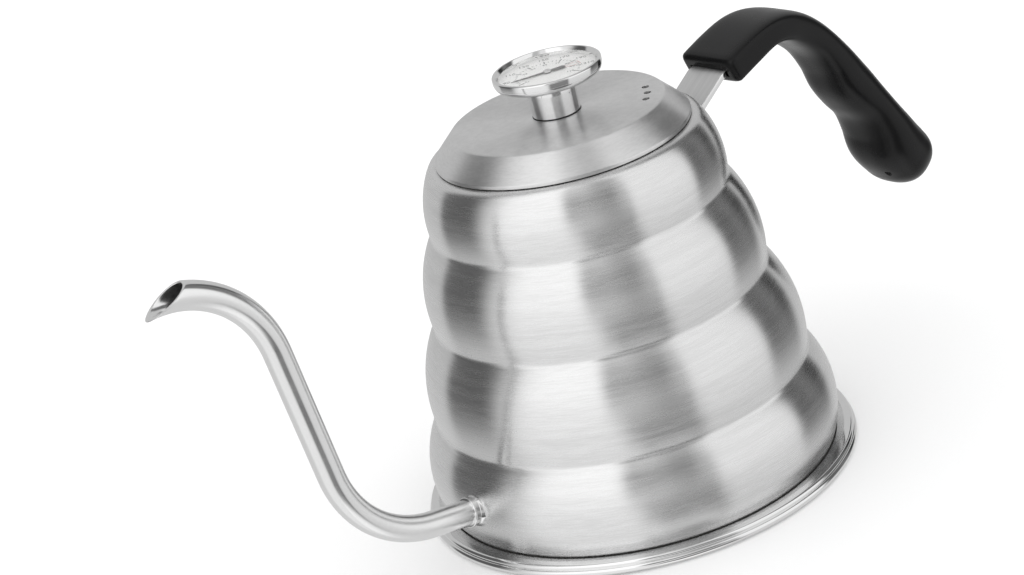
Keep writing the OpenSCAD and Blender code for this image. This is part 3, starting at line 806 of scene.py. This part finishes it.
def make_dial():
    plate = rounded([(1.2, DIAL_Z - 0.3), (DIAL_R, DIAL_Z - 0.3), (DIAL_R, DIAL_Z, 0.1), (1.2, DIAL_Z)])
    piece(lathe("dial_plate_disc", plate, 128), "lid", "dial_white", ["dial_plate"])
    ink_top = DIAL_Z + 0.03
    bm = bmesh.new()
    for step in range(65):
        degrees = -120 + step * 240 / 64
        long = step % 8 == 0
        if step % 2 and not long:
            continue
        inner, outer = (0.525, 0.636) if long else (0.56, 0.60)
        way = dial_way(degrees)
        width = 0.42 if long else 0.22
        stroke(bm, way * inner * BEZEL_R, way * outer * BEZEL_R, width, width, DIAL_Z, ink_top)
    piece(new_object("dial_ticks", bm), "lid", "dial_white", look="ink_black")
    bm = bmesh.new()
    for k in range(9):
        degrees = -120 + 30 * k
        outer, inner = 70 + 20 * k, (21, 32, 43, 54, 65, 77, 88, 99, 110)[k]
        for text, size, share in ((str(outer), 2.5, 0.755), (str(inner), 1.8, 0.455)):
            figure = number(text, size, dial_way(degrees) * share * BEZEL_R, DIAL_Z + 0.012)
            bm.from_mesh(figure)
            bpy.data.meshes.remove(figure)
    piece(new_object("dial_numbers", bm), "lid", "dial_white", look="ink_black")
    bm = bmesh.new()
    first, last, reach = 67.5, 82.5, 0.62 * BEZEL_R
    for degrees in (first, last):
        stroke(bm, dial_way(degrees) * 2.2, dial_way(degrees) * reach, 0.16, 0.16, DIAL_Z, ink_top)
    for k in range(6):
        a, b = (first + (last - first) * (k + d) / 6 for d in (0, 1))
        stroke(bm, dial_way(a) * reach, dial_way(b) * reach, 0.16, 0.16, DIAL_Z, ink_top)
    middle = dial_way((first + last) / 2)
    stroke(bm, middle * (reach - 1.2), middle * reach, 0.16, 0.16, DIAL_Z, ink_top)
    piece(new_object("dial_red_wedge", bm), "lid", "dial_white", look="ink_red")


def make_hub():
    hub = rounded([(0, HUB_Z), (HUB_R, HUB_Z, 0.05), (HUB_R, HUB_TOP, 0.15), (0.55, HUB_TOP, 0.1),
                   (0.4, HUB_TOP - 0.15), (0, HUB_TOP - 0.2)])
    piece(lathe("pointer_hub_cap", hub, 48), "pointer", "polished_steel", ["pointer_hub"])


# ---- studio -------------------------------------------------------------------------------------

CAMERA_AZIMUTH, CAMERA_ELEVATION, CAMERA_ROLL = -34, 22.167, -14.292
CAMERA_DISTANCE, CAMERA_LENS = 954.5, 100.19
CAMERA_TARGET_Z = 80
CAMERA_ASIDE, CAMERA_BELOW = 26.9, 9.91     # how far the camera stands left of and below the line to its target
CAMERA_BEARING = CAMERA_AZIMUTH - 90        # direction from the kettle to the camera
# studio panels as seen from the kettle. Azimuth is from the camera, positive to its right:
# left edge, its softness, right edge, its softness, bottom, its softness, top, its softness, brightness
PANELS = [
    (-125, 4, -84, 10, -20, 12, 48, 8, 0.10),
    (-123, 4, -103, 5, 48, 8, 84, 5, 0.12),
    (-98, 6, -70, 6, 50, 8, 84, 5, 0.85),
    (-76, 12, -9, 5, -80, 8, 84, 5, 0.90),
    (-66, 10, -14, 6, 2, 22, 84, 5, 1.22),
    (-9, 5, 37, 3, -16, 13, 84, 5, 0.85),
    (12, 10, 37, 3, -12, 12, 84, 5, 0.52),
    (-5, 4, 36, 3, -31, 4, -9, 4, 0.24),
    (2, 4, 44, 5, -41, 3, -27, 3, 0.10),
    (-9, 5, 40, 5, -80, 6, -43, 4, 1.05),
    (-14, 4, 28, 4, 12, 5, 34, 5, 0.15),
    (37, 3, 95, 4, -14, 18, 84, 5, 0.98),
    (95, 4, 134, 4, -22, 10, 84, 5, 0.12),
    (110, 3, 119, 3, -6, 7, 60, 5, 0.18),
    (123, 3, 134, 3, -8, 7, 60, 5, 0.03),
]
CEILING, GROUND = 0.56, 0.70
AMBIENT = 1.2                   # even light on everything that is not a mirror


def make_camera():
    a, e, r = (math.radians(v) for v in (CAMERA_AZIMUTH, CAMERA_ELEVATION, CAMERA_ROLL))
    back = Vector((math.sin(a) * math.cos(e), -math.cos(a) * math.cos(e), math.sin(e)))
    level = Vector((math.cos(a), math.sin(a), 0))
    upright = back.cross(level)
    right = math.cos(r) * level + math.sin(r) * upright
    up = math.cos(r) * upright - math.sin(r) * level
    place = mm(0, 0, CAMERA_TARGET_Z) + (back * CAMERA_DISTANCE - right * CAMERA_ASIDE - up * CAMERA_BELOW) * MM
    data = bpy.data.cameras.new("camera")
    data.lens, data.sensor_width = CAMERA_LENS, 36
    data.clip_start, data.clip_end = 0.01, 50
    camera = bpy.data.objects.new("camera", data)
    camera.matrix_world = Matrix.Translation(place) @ Matrix((right, up, back)).transposed().to_4x4()
    bpy.context.scene.collection.objects.link(camera)
    bpy.context.scene.camera = camera


def make_world():
    """A studio of soft panels for reflections, and an even white dome for everything else."""
    world = bpy.data.worlds.new("studio")
    bpy.context.scene.world = world
    world.use_nodes = True
    n = Nodes(world.node_tree)
    turn = n.add("ShaderNodeVectorRotate", Vector=n.add("ShaderNodeTexCoord").outputs["Generated"],
                 Angle=math.radians(-CAMERA_BEARING))
    turn.rotation_type = "Z_AXIS"
    way = n.add("ShaderNodeSeparateXYZ", Vector=turn.outputs[0])
    azimuth = n.math("DEGREES", n.math("ARCTAN2", way.outputs[1], way.outputs[0]))
    elevation = n.math("DEGREES", n.math("ARCSINE", way.outputs[2]))
    shade = n.ramp(elevation, -30, -5, GROUND, CEILING)
    for left, left_soft, right, right_soft, bottom, bottom_soft, top, top_soft, brightness in PANELS:
        mask = n.math("MULTIPLY", n.ramp(azimuth, left - left_soft, left + left_soft),
                      n.ramp(azimuth, right - right_soft, right + right_soft, 1.0, 0.0))
        mask = n.math("MULTIPLY", mask, n.ramp(elevation, bottom - bottom_soft, bottom + bottom_soft))
        mask = n.math("MULTIPLY", mask, n.ramp(elevation, top - top_soft, top + top_soft, 1.0, 0.0))
        shade = n.math("ADD", n.math("MULTIPLY", shade, n.math("SUBTRACT", 1.0, mask)),
                       n.math("MULTIPLY", mask, brightness))
    light_path = n.add("ShaderNodeLightPath")
    glossy = light_path.outputs["Is Glossy Ray"]
    panels = n.add("ShaderNodeCombineColor", Red=shade, Green=shade, Blue=shade).outputs[0]
    strength = n.mix(glossy, grey(AMBIENT), panels)
    background = n.add("ShaderNodeBackground", Color=strength)
    out = n.add("ShaderNodeOutputWorld")
    world.node_tree.links.new(background.outputs[0], out.inputs[0])


def make_floor():
    bm = bmesh.new()
    bmesh.ops.create_grid(bm, x_segments=1, y_segments=1, size=6)
    floor = new_object("floor", bm)
    mat, n, shader = material("floor_paper")
    tooth = n.noise(n.place((700, 700, 700)), detail=2.0)
    n.put(shader, "Base Color", n.mix(tooth, grey(0.93), grey(0.95)))
    shader.inputs["Roughness"].default_value = 0.9
    shader.inputs["Specular IOR Level"].default_value = 0.0
    floor.data.materials.append(mat)
    floor.visible_glossy = False


bpy.context.scene.view_settings.view_transform = "Standard"
paint_cad_nodes()
make_camera()
make_world()
make_floor()
make_body()
make_rim()
# near-black rings painted into the gaps at the foot and under the lid as shade
make_seams()
make_spout()
make_spout_base()
make_strap()
make_grip()
make_lid()
make_knob()
make_dial()
make_hub()
